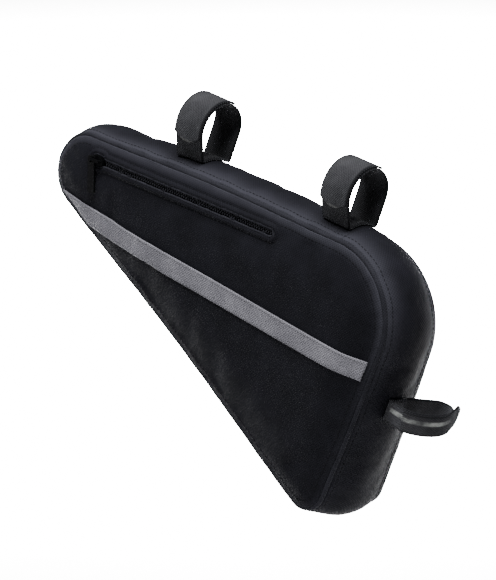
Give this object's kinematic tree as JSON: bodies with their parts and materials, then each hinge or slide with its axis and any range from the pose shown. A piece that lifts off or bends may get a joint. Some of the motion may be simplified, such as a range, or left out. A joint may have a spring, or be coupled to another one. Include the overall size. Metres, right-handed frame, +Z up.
{
  "type": "bicycle frame bag",
  "caption": "Triangular padded cloth bag with a side zip, piped seams and a reflective stripe, strapped into the corner of a bicycle frame.",
  "frame": {"origin": "on the top tube's centre line, in the middle of the front strap", "axes": "+X runs back towards the seat tube, +Y to the bicycle's right side, +Z up"},
  "size_m": [0.3418, 0.071, 0.2722],
  "materials": {
    "padded_cloth": "matt woven nylon",
    "piping_cloth": "tight woven binding",
    "tape_cloth": "matt woven tape",
    "coil_nylon": "satin nylon",
    "painted_zinc": "black paint, worn at the edges",
    "reflective_tape": "grey retroreflective weave",
    "webbing": "fuzzy hook-and-loop webbing"
  },
  "bodies": {
    "root": {"left_panel": "padded_cloth", "right_panel": "padded_cloth", "gusset": "padded_cloth", "left_piping": "piping_cloth", "right_piping": "piping_cloth", "zip_tape": "tape_cloth", "zip_coil": "coil_nylon", "zip_slider": "painted_zinc", "zip_pull": "painted_zinc", "reflective_stripe": "reflective_tape", "front_strap": "webbing", "rear_strap": "webbing", "seat_tube_strap": "webbing"}
  },
  "joints": []
}
